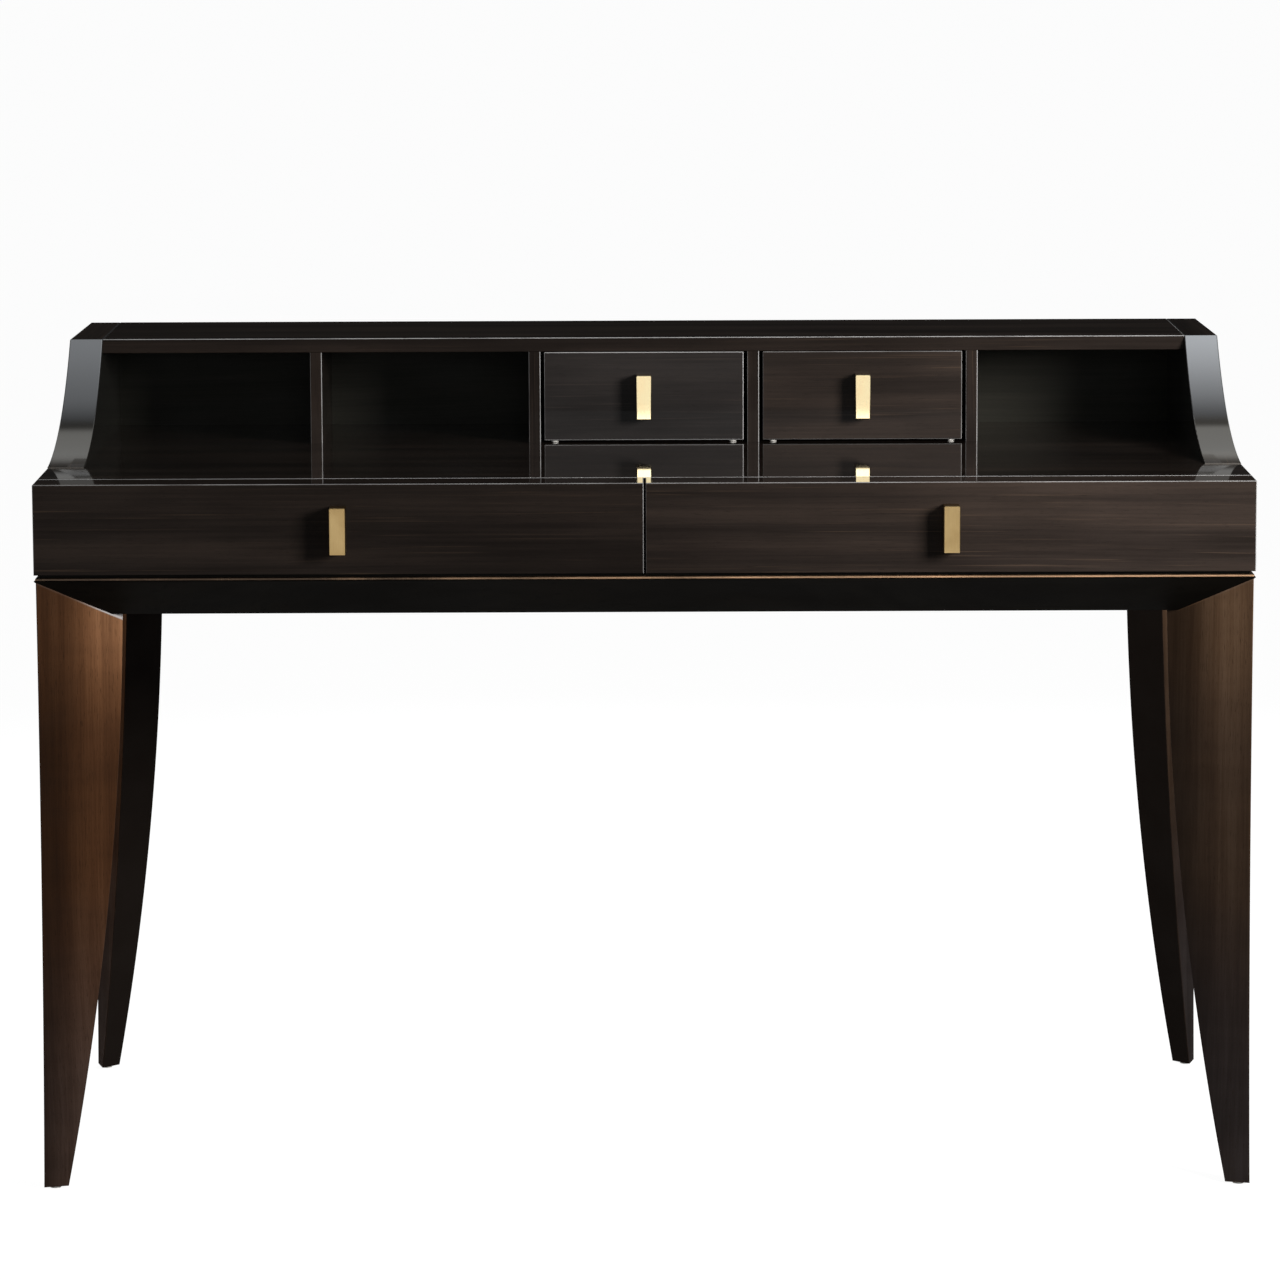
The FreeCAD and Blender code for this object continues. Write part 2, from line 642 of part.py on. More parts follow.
def build_pull(drawer, middle_x, middle_z, face_y):
    """A brass block pull and its two screws. Gives back the holes that the screws need in the drawer front."""
    half = "pull_width / 2"
    tall = "pull_height / 2"
    blank = board(
        f"{drawer}_pull_blank", (f"{middle_x} - {half}", f"{middle_x} + {half}"),
        (f"{face_y} - pull_depth", face_y), (f"{middle_z} - {tall}", f"{middle_z} + {tall}"),
    )
    box = box_of(blank)
    eased = soften(f"{drawer}_pull_eased", blank, "pull_round", lambda edge: edge.YMin < box.YMax - NEAR)
    screws = []
    pull_holes = []
    front_holes = []
    wide = "screw_diameter + 2 * screw_play"
    for name, side in (("low", -1), ("high", 1)):
        label = f"{drawer}_screw_{name}"
        z = f"{middle_z} + {side} * screw_spread / 2"
        tip = (middle_x, f"{face_y} - screw_reach", z)
        seat = (middle_x, f"{face_y} + screw_grip", z)
        shank = round_bar(f"{label}_shank", "screw_diameter", "screw_reach + screw_grip", tip, (0, 1, 0))
        head = round_bar(f"{label}_head", "screw_head", "screw_head_thick", seat, (0, 1, 0))
        screws.append(fuse(label, [shank, head]))
        deep = (middle_x, f"{face_y} - screw_reach - screw_play", z)
        pull_holes.append(round_bar(f"{label}_thread", wide, "screw_reach + screw_play", deep, (0, 1, 0)))
        front_holes.append(round_bar(f"{label}_bore", wide, "screw_grip", (middle_x, face_y, z), (0, 1, 0)))
        # The access hole runs out through the back of the thickest front
        access = "drawer_front_thick + small_front_thick"
        front_holes.append(round_bar(f"{label}_access", "screw_head + 2 * screw_play", access, seat, (0, 1, 0)))
    node(cut(f"{drawer}_pull", eased, pull_holes))
    node(group(f"{drawer}_pull_screws", screws))
    return front_holes


def build_drawer(drawer, kind, bay, front_x, front_z, face_y, box_z):
    """One drawer: front, two sides, back and bottom, let into each other, with its pull."""
    inner_y = f"{face_y} + {kind}_front_thick"
    slot_y = f"{inner_y} - {kind}_housing"
    end_y = f"{inner_y} + {kind}_length"
    top_z = f"{box_z} + {kind}_side_height"
    bottom_z = f"{box_z} + {kind}_bottom_lift"
    bottom_top = f"{bottom_z} + {kind}_bottom_thick"
    left_out = f"{bay[0]} + {kind}_gap"
    left_in = f"{left_out} + {kind}_side_thick"
    right_out = f"{bay[1]} - {kind}_gap"
    right_in = f"{right_out} - {kind}_side_thick"
    panel_left = f"{left_in} - {kind}_side_thick / 2"
    panel_right = f"{right_in} + {kind}_side_thick / 2"

    blank = board(f"{drawer}_front_blank", front_x, (face_y, inner_y), front_z)
    eased = soften(f"{drawer}_front_eased", blank, "edge_round", on_front_or_top(box_of(blank)))
    middle_x = f"(({front_x[0]}) + ({front_x[1]})) / 2"
    middle_z = f"(({front_z[0]}) + ({front_z[1]})) / 2"
    tools = build_pull(drawer, middle_x, middle_z, face_y)
    tools.append(board(f"{drawer}_slot_left", (left_out, left_in), (slot_y, inner_y), (box_z, top_z)))
    tools.append(board(f"{drawer}_slot_right", (right_in, right_out), (slot_y, inner_y), (box_z, top_z)))
    tools.append(board(f"{drawer}_slot_bottom", (left_in, right_in), (slot_y, inner_y), (bottom_z, bottom_top)))
    node(cut(f"{drawer}_front", eased, tools))

    for name, span, groove, outer in (
        ("left", (left_out, left_in), (panel_left, left_in), (left_out, f"{left_out} + groove_depth")),
        ("right", (right_in, right_out), (right_in, panel_right), (f"{right_out} - groove_depth", right_out)),
    ):
        label = f"{drawer}_side_{name}"
        side = board(f"{label}_blank", span, (slot_y, end_y), (box_z, top_z))
        tools = [board(f"{label}_bottom_groove", groove, (slot_y, end_y), (bottom_z, bottom_top))]
        if kind == "drawer":
            groove_z = f"{box_z} + groove_lift"
            tools.append(board(
                f"{label}_runner_groove", outer, (inner_y, end_y), (groove_z, f"{groove_z} + groove_height")
            ))
        node(cut(label, side, tools))
    node(board(f"{drawer}_back", (left_in, right_in), (f"{end_y} - {kind}_back_thick", end_y), (bottom_top, top_z)))
    node(board(f"{drawer}_bottom", (panel_left, panel_right), (slot_y, end_y), (bottom_z, bottom_top)))
    return left_out, right_out, inner_y, end_y


def build_buttons(drawer, front_x, ends):
    """Glide buttons under a gallery drawer: two under its front and one under the back end of each side."""
    left_out, right_out, inner_y, end_y = ends
    height = "small_lift - button_play"
    low = "desk_height + button_play"
    front_row = f"{inner_y} - small_front_thick / 2"
    back_row = f"{end_y} - button_margin"
    side_middle = "small_side_thick / 2"
    spots = [
        (f"{front_x[0]} + button_margin", front_row),
        (f"{front_x[1]} - button_margin", front_row),
        (f"{left_out} + {side_middle}", back_row),
        (f"{right_out} - {side_middle}", back_row),
    ]
    buttons = []
    for number, (x, y) in enumerate(spots):
        buttons.append(round_bar(f"{drawer}_button_{number}", "button_diameter", height, (x, y, low), (0, 0, 1)))
    node(group(f"{drawer}_glides", buttons))


def build_drawers():
    """Two wide drawers in the case and two small ones in the gallery."""
    side_face = "half_width - side_thick"
    tall = ("case_z", "desk_height")
    left_bay = (f"-({side_face})", "-partition_thick / 2")
    right_bay = ("partition_thick / 2", side_face)
    build_drawer("left_drawer", "drawer", left_bay, ("-half_width", "-split_gap / 2"), tall, "front_y", "drawer_z")
    build_drawer("right_drawer", "drawer", right_bay, ("split_gap / 2", "half_width"), tall, "front_y", "drawer_z")
    low = ("small_z", "shelf_z - small_top_gap")
    for drawer, number in (("gallery_drawer_middle", 2), ("gallery_drawer_right", 3)):
        left = f"({divider_left(number)} + divider_thick)"
        right = f"({left} + bay_width)"
        front_x = (f"{left} + small_front_gap", f"{right} - small_front_gap")
        ends = build_drawer(drawer, "small", (left, right), front_x, low, "gallery_y", "small_z")
        build_buttons(drawer, front_x, ends)


def check():
    """Stops if any object failed, or if a sub-part has no sound solid."""
    for thing in doc.Objects:
        if "Invalid" in thing.State or "Error" in thing.State:
            raise ValueError(f"{thing.Label} failed: {thing.State}")
    for piece in nodes:
        if piece.Shape.isNull() or not piece.Shape.isValid() or not piece.Shape.Solids:
            raise ValueError(f"{piece.Label} is not a sound solid")


def export():
    """Writes each sub-part to its own file."""
    os.makedirs("parts", exist_ok=True)
    for piece in nodes:
        piece.Shape.exportStep(f"parts/{piece.Label}.step")


build_case(build_gallery())
build_stand()
build_drawers()
doc.recompute()
check()
export()
print(len(nodes), "sub-parts written")
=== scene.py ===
import json
import math

import bpy
from mathutils import Euler, Matrix, Vector


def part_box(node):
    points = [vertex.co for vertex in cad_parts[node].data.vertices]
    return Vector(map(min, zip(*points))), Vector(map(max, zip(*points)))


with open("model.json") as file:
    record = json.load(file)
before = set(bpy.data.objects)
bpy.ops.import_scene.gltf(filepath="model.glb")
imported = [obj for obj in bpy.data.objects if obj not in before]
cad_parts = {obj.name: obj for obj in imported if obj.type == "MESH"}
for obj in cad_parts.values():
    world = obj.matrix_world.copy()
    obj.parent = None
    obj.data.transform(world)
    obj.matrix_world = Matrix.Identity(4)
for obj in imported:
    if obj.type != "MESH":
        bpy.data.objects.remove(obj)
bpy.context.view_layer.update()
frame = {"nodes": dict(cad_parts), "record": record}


# Values: colours are linear, lengths are metres in the part's frame, turns are degrees

# Woods and stains, from dark to light. The last shade of a veneer is that of its flecks.
WARM_VENEER = (
    (0.0118, 0.009, 0.0077),
    (0.0228, 0.0173, 0.0148),
    (0.0375, 0.0274, 0.0225),
    (0.078, 0.0526, 0.037),
)
COOL_VENEER = (
    (0.014, 0.0127, 0.0124),
    (0.0205, 0.0182, 0.0177),
    (0.029, 0.0249, 0.0237),
    (0.05, 0.04, 0.035),
)
WALNUT = ((0.088, 0.0365, 0.0157), (0.125, 0.053, 0.0228), (0.168, 0.0755, 0.0345))
# The apron's near-black is partly its dark stain and partly painted shade on its downward-facing bevel
APRON_STAIN_AND_SHADE = ((0.0022, 0.0018, 0.0014), (0.0041, 0.0035, 0.0028), (0.0078, 0.0064, 0.005))
BLACK_STAIN = ((0.0028, 0.0025, 0.0021), (0.0052, 0.0047, 0.0039), (0.01, 0.0086, 0.007))
OLIVE_STAIN = ((0.022, 0.0213, 0.018), (0.026, 0.0252, 0.0212), (0.031, 0.0297, 0.0248))
MAPLE = ((0.26, 0.14, 0.065), (0.4, 0.24, 0.12), (0.52, 0.34, 0.19))
BEECH = ((0.3, 0.17, 0.085), (0.42, 0.26, 0.14), (0.52, 0.34, 0.2))

# Metals, tarnished and clean, and the nylon's two shades
CASE_BRASS = ((0.38, 0.255, 0.108), (0.5, 0.355, 0.165))
# The gallery brass is the same brass as the case brass, painted far lighter: painted light
LIT_GALLERY_BRASS = ((1.0, 0.77, 0.44), (1.0, 0.86, 0.52))
BEAD_BRONZE = ((0.1, 0.07, 0.05), (0.95, 0.6, 0.36))
ZINC = ((0.42, 0.42, 0.43), (0.6, 0.6, 0.6))
NYLON = ((0.62, 0.61, 0.58), (0.78, 0.77, 0.74))

# Brushing of the metals: the share of its lines in the colour, the patches being the rest, and their relief
BRUSH_LINES = 0.4
BRUSH_ROUGHNESS = 0.1
BRUSH_RELIEF = 0.06
BRUSH_DEPTH = 0.0002
METAL_EDGE_SHARE = 0.5
# Reach of the painted light that makes a metal lighter towards the right
RIGHT_LIGHT_REACH = 0.6

# Grain of the nylon
NYLON_GRAINS = 1800.0
NYLON_SMOOTH = 0.4
NYLON_ROUGHNESS = 0.2
NYLON_RELIEF = 0.1
NYLON_DEPTH = 0.0003

# Lacquer on the veneer. Upright faces bend light little and so mirror little.
LACQUER_BEND = 1.08
DRAWER_BEND = 1.12
DESKTOP_COAT_BEND = 1.42
SWEEP_COAT_BEND = 1.3
COAT_ROUGHNESS = 0.04
LACQUER_SMOOTH = 0.02
LACQUER_SMEAR = 0.04
SMEAR_TONE = 0.36
SMEAR_TONE_LOW = 0.82
# Painted highlight on the arrises: light grey, a little metallic and rougher
ARRIS_HIGHLIGHT_GREY = (0.5, 0.5, 0.51)
ARRIS_METAL = 0.3
ARRIS_ROUGHNESS = 0.3
DUST = (0.3, 0.29, 0.27)
DUST_SHARE = 0.03
# Painted shade: veneers can be darker towards the middle of the desk, over this reach
MIDDLE_SHADE_REACH = 0.55

# Gallery sides: their grey lacquer, warmer below the turn, and the greyer veneer inside
SWEEP_LACQUER = (0.3, 0.308, 0.322)
SWEEP_LACQUER_LOW = (0.282, 0.272, 0.252)
SWEEP_TURN = (0.807, 0.797)
SWEEP_METAL = 0.9
SWEEP_ROUGHNESS = 0.06
SWEEP_INSIDE = (0.03, 0.031, 0.028)
SWEEP_INSIDE_SHARE = 0.75
SWEEP_TONE = 0.8

# Parts of a normal, from 1 along an axis to -1 against it: faces that look aside, rounded edges, which look along
# no axis, and faces that look to the middle of the desk. Pairs run from where a mask begins to where it is full.
ASIDE = 0.7
OFF_AXIS = (0.998, 0.97)
INNER_FACING = (-0.3, -0.7)

# Wood figure: how far it is drawn out, in a metre or as shares of the counts of bands, lines and pores, how high
# its lines stand beside its pores, and how far apart two pieces of the same wood are cut
DRIFT_ALONG = 1.6
DRIFT_ACROSS = 4.0
LINE_LENGTH = 4.0
FLECK_ALONG = 0.02
FLECK_ACROSS = 1.7
PORE_ALONG = 0.05
LINE_HEIGHT = 0.3
GRAIN_SPREAD = 40.0
LEG_GRAIN_SPREAD = 30.0

# Shares in a wood's colour: broad bands, the fine lines being the rest, then flecks, pores and worn edges
VENEER_BANDS = 0.74
BOARD_BANDS = 0.6
FLECK_SHARE = 0.5
PORE_SHARE = 0.5
LEG_PORE_SHARE = 0.6
BOARD_EDGE_SHARE = 0.3
LEG_EDGE_SHARE = 0.25

# Satin finish of the legs and boards, and the strength and height of their grain
SATIN_SMEAR = 0.12
LEG_SATIN = 0.34
LEG_DULL = 0.5
LEG_SPECULAR = 0.05
LEG_GRAIN = 0.12
BOARD_GRAIN = 0.1
BOARD_GRAIN_DEPTH = 0.0004

# Legs, whose light and shade are painted: a line down each leg parts its painted dim side from its painted bright
# one, and the right legs and right foot are painted dimmer. Pairs are of the left and right legs, or run
# from where a change begins to where it is full.
LEG_SPLIT = 0.5
LEG_LINES = (-0.605, 0.592)
LEG_LINE_FADE = (-0.035, 0.02)
LEG_PAINTED_SHADES = (0.155, 0.48)
LEG_RIGHT_SHIFT = 0.012
FOOT_SHIFTS = (0.022, -0.012)
FOOT_SHIFT_HEIGHTS = (0.35, 0.0)
RIGHT_FOOT_HEIGHTS = (0.45, 0.2)
RIGHT_FOOT_PAINTED_SHADE = 0.46
CURL_SCALE = (9.0, 9.0, 32.0)
CURL_LEVELS = (0.92, 1.08)

# Painted highlight on the heads of the legs, near the apron
HEAD_HIGHLIGHT_FADE = (-0.012, 0.03)
HEAD_HIGHLIGHT_DIM = 0.17
HEAD_HIGHLIGHT_HEIGHTS = (0.46, 0.63)
HEAD_HIGHLIGHT_SHARES = (1.0, 0.45)
HEAD_HIGHLIGHT_GAIN = 1.55

# Tints of the legs, with the painted shade of the right legs and the haze of the head highlight, and the heights
# at which they come in
WAIST_TOP_HEIGHTS = (0.62, 0.46)
WAIST_FOOT_HEIGHTS = (0.08, 0.36)
GREY_HEIGHTS = (0.36, 0.08)
LEFT_TINT = (1.0, 1.0, 1.0)
RIGHT_SHADE_TINT = (0.56, 0.72, 0.9)
WAIST_TINT = (1.0, 1.1, 1.28)
GREY_TINT = (0.85, 1.2, 2.1)
HEAD_HIGHLIGHT_TINT = (1.0, 1.14, 1.3)

# Pores, black inner faces, worn edges and the painted highlight of the legs' grey upper rim, and where the dull
# rear legs begin
LEG_PORE = (0.008, 0.004, 0.002)
LEG_BLACK = (0.011, 0.0082, 0.0068)
LEG_WORN = (0.16, 0.085, 0.045)
RIM_HIGHLIGHT_GREY = (0.62, 0.62, 0.64)
RIM_SHARES = (0.8, 0.1)
RIM_EDGE = (0.0018, 0.0006)
REAR_LEGS_Y = (-0.1, 0.1)

# The apron's bevel, which the heads of the legs meet
APRON_RECESS = 0.045
apron_low, apron_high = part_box("apron_front")
apron_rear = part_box("apron_back")[1].y
desk_middle_y = (apron_low.y + apron_rear) / 2
desk_half_depth = (apron_rear - apron_low.y) / 2
apron_drop = apron_high.z - apron_low.z
bevel_length = math.hypot(APRON_RECESS, apron_drop)
bevel_across = APRON_RECESS / bevel_length
bevel_down = apron_drop / bevel_length

# Floor
FLOOR_RADIUS = 80.0
FLOOR_DROP = 0.0005
FLOOR_COLOUR = (0.18, 0.18, 0.18)
FLOOR_GLOW = 0.93

# Colours of the light
COOL_LIGHT = (0.97, 0.99, 1.0)
WARM_LIGHT = (1.0, 0.97, 0.93)

# Dome: levels, where 1 is white, and where they change, in x, y and z of the direction looked in
CEILING_LEFT = 0.55
CEILING_RIGHT = 1.6
CEILING_BACK = 0.25
CEILING_X = (-0.13, 0.13)
CEILING_Y = (-0.35, 0.56)
CEILING_Z = (0.8, 0.95)
BELOW_CEILING = 0.04
REAR_LOW = 0.01
REAR_HIGH = 0.38
REAR_Y = (0.59, 0.6)
REAR_Z = (0.3, 0.5)
CORNER_LOSS = 0.7
CORNER_FRONT_Y = (0.53, 0.56)
CORNER_BACK_Y = (0.63, 0.6)
WINDOW_LEFT = 2.5
WINDOW_RIGHT = 3.3
WINDOW_X = (-0.2, 0.2)
WINDOW_Y = (-0.96, -0.98)
WINDOW_SILL_Z = (0.0, 0.05)
WINDOW_HEAD_Z = (0.26, 0.16)

# Lamps: name, place, target, width, height, radiance, spread, colour
LAMPS = (
    ("key_right", (1.7, -1.62, 1.35), (0.8, -0.3, 0.7), 0.68, 0.68, 30.0, 130.0, WARM_LIGHT),
    ("rear_wide", (0.0, 2.5, 1.9), (0.0, 0.3, 0.6), 1.2, 0.6, 12.0, 160.0, COOL_LIGHT),
    ("left_side", (-2.7, 0.1, 1.0), (-0.65, 0.0, 0.55), 0.8, 0.8, 7.0, 160.0, COOL_LIGHT),
)

# Camera of the photograph: CAMERA_BACK counts from the wide drawer fronts, CAMERA_FOCAL in pixels
CAMERA_BACK = 5.97042
CAMERA_SIDE = -0.00533
CAMERA_HEIGHT = 1.45455
CAMERA_DOWN = 8.17696
CAMERA_ROLL = 0.21247
CAMERA_FOCAL = 5663.8
CAMERA_REACH = 300.0
PHOTO_WIDTH = 1280
SENSOR = 36.0


# Shader building

def add(tree, kind, **settings):
    """A new node with its plain settings."""
    made = tree.nodes.new(kind)
    for name, value in settings.items():
        setattr(made, name, value)
    return made


def feed(tree, socket, value):
    """Gives a socket a number, a colour of three numbers or another node's output."""
    if isinstance(value, bpy.types.NodeSocket):
        tree.links.new(value, socket)
    elif socket.type == "RGBA":
        socket.default_value = (*value, 1.0)
    else:
        socket.default_value = value


def sum_up(tree, operation, first, second=None, third=None):
    """A maths node on one to three values."""
    made = add(tree, "ShaderNodeMath", operation=operation)
    for socket, value in zip(made.inputs, (first, second, third)):
        if value is not None:
            feed(tree, socket, value)
    return made.outputs[0]


def plus(tree, first, second):
    """The sum of two values."""
    return sum_up(tree, "ADD", first, second)


def minus(tree, first, second):
    """The difference of two values."""
    return sum_up(tree, "SUBTRACT", first, second)


def times(tree, first, second):
    """The product of two values."""
    return sum_up(tree, "MULTIPLY", first, second)


def weigh(tree, value, factor, base):
    """A value times a factor, on top of a base."""
    return sum_up(tree, "MULTIPLY_ADD", value, factor, base)


def size_of(tree, value):
    """A value without its sign."""
    return sum_up(tree, "ABSOLUTE", value)


def ramp_range(tree, value, low, high, start=0.0, end=1.0):
    """Spreads low..high of a value smoothly over start..end."""
    made = add(tree, "ShaderNodeMapRange", interpolation_type="SMOOTHSTEP")
    feed(tree, made.inputs["Value"], value)
    feed(tree, made.inputs["From Min"], low)
    feed(tree, made.inputs["From Max"], high)
    feed(tree, made.inputs["To Min"], start)
    feed(tree, made.inputs["To Max"], end)
    return made.outputs["Result"]


def split(tree, vector):
    """The X, Y and Z of a vector."""
    made = add(tree, "ShaderNodeSeparateXYZ")
    feed(tree, made.inputs[0], vector)
    return made.outputs


def place_of(tree):
    """The place on the part, in its frame at rest."""
    return add(tree, "ShaderNodeTexCoord").outputs["Object"]


def facing_of(tree):
    """The X, Y and Z of the direction in which the surface looks."""
    return split(tree, add(tree, "ShaderNodeTexCoord").outputs["Normal"])


def vector_of(tree, x, y, z):
    """A vector from three values."""
    made = add(tree, "ShaderNodeCombineXYZ")
    for socket, value in zip(made.inputs, (x, y, z)):
        feed(tree, socket, value)
    return made.outputs[0]


def join(tree, operation, first, second):
    """The outputs of a vector maths node on two vectors."""
    made = add(tree, "ShaderNodeVectorMath", operation=operation)
    feed(tree, made.inputs[0], first)
    feed(tree, made.inputs[1], second)
    return made.outputs


def stretched(tree, vector, x, y, z):
    """A vector with each axis multiplied."""
    return join(tree, "MULTIPLY", vector, vector_of(tree, x, y, z))["Vector"]


def noise(tree, vector, scale=1.0, detail=2.0, roughness=0.5):
    """Noise on a vector, from 0 to 1."""
    made = add(tree, "ShaderNodeTexNoise")
    feed(tree, made.inputs["Vector"], vector)
    feed(tree, made.inputs["Scale"], scale)
    feed(tree, made.inputs["Detail"], detail)
    feed(tree, made.inputs["Roughness"], roughness)
    return made.outputs["Fac"]


def blend_colour(tree, factor, first, second, kind="MIX"):
    """Two colours mixed."""
    made = add(tree, "ShaderNodeMix", data_type="RGBA", blend_type=kind)
    colours = [socket for socket in made.inputs if socket.type == "RGBA"]
    feed(tree, made.inputs[0], factor)
    feed(tree, colours[0], first)
    feed(tree, colours[1], second)
    return [socket for socket in made.outputs if socket.type == "RGBA"][0]


def shaded(tree, colour, level):
    """A colour at another level."""
    return blend_colour(tree, 1.0, colour, vector_of(tree, level, level, level), "MULTIPLY")


def colour_ramp(tree, value, colours):
    """Colours laid evenly along a value."""
    made = add(tree, "ShaderNodeValToRGB")
    points = made.color_ramp.elements
    while len(points) < len(colours):
        points.new(0.5)
    for index, colour in enumerate(colours):
        points[index].position = index / (len(colours) - 1)
        points[index].color = (*colour, 1.0)
    feed(tree, made.inputs["Fac"], value)
    return made.outputs["Color"]


def new_group(name, inputs, outputs):
    """An empty shader node group with named sockets, and its two end nodes."""
    tree = bpy.data.node_groups.new(name, "ShaderNodeTree")
    for label, kind, value in inputs:
        socket = tree.interface.new_socket(label, in_out="INPUT", socket_type=f"NodeSocket{kind}")
        if value is not None:
            socket.default_value = value
    for label, kind in outputs:
        tree.interface.new_socket(label, in_out="OUTPUT", socket_type=f"NodeSocket{kind}")
    return tree, add(tree, "NodeGroupInput").outputs, add(tree, "NodeGroupOutput").inputs


def use_group(tree, group, **values):
    """A group placed in a material, with its own values where they differ from the group's."""
    made = add(tree, "ShaderNodeGroup", node_tree=group)
    for name, value in values.items():
        feed(tree, made.inputs[name.replace("_", " ").title()], value)
    return made.outputs


# Shared effects

def make_face_group(name, along):
    """Lays a board's faces out flat: the vector's X runs along the grain, its Y across it.

    The grain runs along the part's x or y, and along y on faces that look left or right.
    """
    tree, _, result = new_group(name, [], [("Vector", "Vector")])
    x, y, z = split(tree, place_of(tree))
    side = sum_up(tree, "GREATER_THAN", size_of(tree, facing_of(tree)["X"]), ASIDE)
    rest = minus(tree, 1.0, side)
    both = plus(tree, y, z)
    own = times(tree, add(tree, "ShaderNodeObjectInfo").outputs["Random"], GRAIN_SPREAD)
    length, width = (x, both) if along == "x" else (both, x)
    on_side = stretched(tree, vector_of(tree, y, z, own), side, side, side)
    on_rest = stretched(tree, vector_of(tree, length, width, own), rest, rest, rest)
    feed(tree, result["Vector"], join(tree, "ADD", on_side, on_rest)["Vector"])
    return tree


def make_figure_group():
    """Wood figure: broad bands, fine lines, flecks and open pores. The vector's X runs along the grain.

    Bands, Lines and Pores are counts in a metre across the grain, Length is the bands' count along it, and
    Wander is how far the grain strays.
    """
    tree, given, result = new_group(
        "wood_figure",
        [
            ("Vector", "Vector", None), ("Bands", "Float", 60.0), ("Lines", "Float", 420.0),
            ("Pores", "Float", 1600.0), ("Length", "Float", 2.0), ("Wander", "Float", 0.03),
        ],
        [("Band", "Float"), ("Line", "Float"), ("Fleck", "Float"), ("Pore", "Float"), ("Height", "Float")],
    )
    bands, lines, pores, length = (given[label] for label in ("Bands", "Lines", "Pores", "Length"))
    slow = noise(tree, stretched(tree, given["Vector"], DRIFT_ALONG, DRIFT_ACROSS, DRIFT_ACROSS), detail=1.0)
    drift = times(tree, minus(tree, slow, 0.5), given["Wander"])
    wood = join(tree, "ADD", given["Vector"], vector_of(tree, 0.0, drift, drift))["Vector"]

    def streaks(along, across, **settings):
        """Noise drawn out along the grain."""
        return noise(tree, stretched(tree, wood, along, across, across), **settings)

    band = streaks(length, bands, detail=3.0)
    line = streaks(times(tree, length, LINE_LENGTH), lines, detail=3.0, roughness=0.6)
    fleck = streaks(times(tree, lines, FLECK_ALONG), times(tree, lines, FLECK_ACROSS))
    pore = ramp_range(tree, streaks(times(tree, pores, PORE_ALONG), pores, detail=1.0), 0.62, 0.74)
    feed(tree, result["Band"], ramp_range(tree, band, 0.28, 0.72))
    feed(tree, result["Line"], ramp_range(tree, line, 0.3, 0.7))
    feed(tree, result["Fleck"], ramp_range(tree, fleck, 0.6, 0.77))
    feed(tree, result["Pore"], pore)
    feed(tree, result["Height"], minus(tree, times(tree, line, LINE_HEIGHT), pore))
    return tree


def make_edge_group():
    """Mask of the sharp edges, broken up a little, where a finish is rubbed thin."""
    tree, given, result = new_group(
        "edge_rub", [("Reach", "Float", 0.0015), ("Break Up", "Float", 50.0)], [("Mask", "Float")]
    )
    round_off = add(tree, "ShaderNodeBevel", samples=6)
    feed(tree, round_off.inputs["Radius"], given["Reach"])
    flat = add(tree, "ShaderNodeNewGeometry").outputs["Normal"]
    near = join(tree, "DOT_PRODUCT", round_off.outputs[0], flat)["Value"]
    edge = ramp_range(tree, near, 0.995, 0.8)
    patch = ramp_range(tree, noise(tree, place_of(tree), given["Break Up"], 3.0), 0.35, 0.65)
    feed(tree, result["Mask"], times(tree, edge, patch))
    return tree


def make_arris_group():
    """Mask of a painted highlight on the rounded arrises of a square-cut board, whose normals lie between two
    axes.

    The highlight is painted dimmer on those that look left. Lower is the share of those that look down.
    """
    tree, given, result = new_group(
        "painted_arris_highlight", [("Break Up", "Float", 18.0), ("Lower", "Float", 0.0)], [("Mask", "Float")]
    )
    facing = facing_of(tree)
    x, y, z = (size_of(tree, axis) for axis in facing)
    square = sum_up(tree, "MAXIMUM", x, sum_up(tree, "MAXIMUM", y, z))
    upper = ramp_range(tree, facing["Z"], -0.15, -0.05, given["Lower"])
    painted_side_light = times(tree, upper, ramp_range(tree, facing["X"], -0.4, -0.1, 0.2, 1.0))
    arris_highlight = times(tree, ramp_range(tree, square, *OFF_AXIS), painted_side_light)
    patch = ramp_range(tree, noise(tree, place_of(tree), given["Break Up"], 3.0), 0.3, 0.6, 0.55, 1.0)
    feed(tree, result["Mask"], times(tree, arris_highlight, patch))
    return tree


def make_dust_group():
    """Faint dust on upward faces, and the cloudy smears of wiping."""
    tree, given, result = new_group(
        "dust_and_smears",
        [("Speckle", "Float", 1100.0), ("Smear", "Float", 5.0)],
        [("Dust", "Float"), ("Cloud", "Float")],
    )
    place = place_of(tree)
    up = ramp_range(tree, facing_of(tree)["Z"], 0.2, 0.95)
    specks = ramp_range(tree, noise(tree, place, given["Speckle"], 1.0), 0.7, 0.8)
    feed(tree, result["Dust"], times(tree, specks, up))
    wiped = noise(tree, stretched(tree, place, 1.0, 3.0, 3.0), given["Smear"], 4.0)
    feed(tree, result["Cloud"], ramp_range(tree, wiped, 0.3, 0.7))
    return tree


def make_brush_group():
    """Fine brushed lines on metal, running along the vertical, with a slow patchy tone."""
    tree, given, result = new_group(
        "brushed_metal",
        [("Lines", "Float", 2600.0), ("Patch", "Float", 40.0)],
        [("Line", "Float"), ("Patch", "Float"), ("Height", "Float")],
    )
    place = place_of(tree)
    lines = given["Lines"]
    line = noise(tree, stretched(tree, place, lines, lines, times(tree, lines, 0.02)), detail=3.0)
    feed(tree, result["Line"], ramp_range(tree, line, 0.25, 0.75))
    feed(tree, result["Patch"], ramp_range(tree, noise(tree, place, given["Patch"], 3.0), 0.3, 0.7))
    feed(tree, result["Height"], line)
    return tree


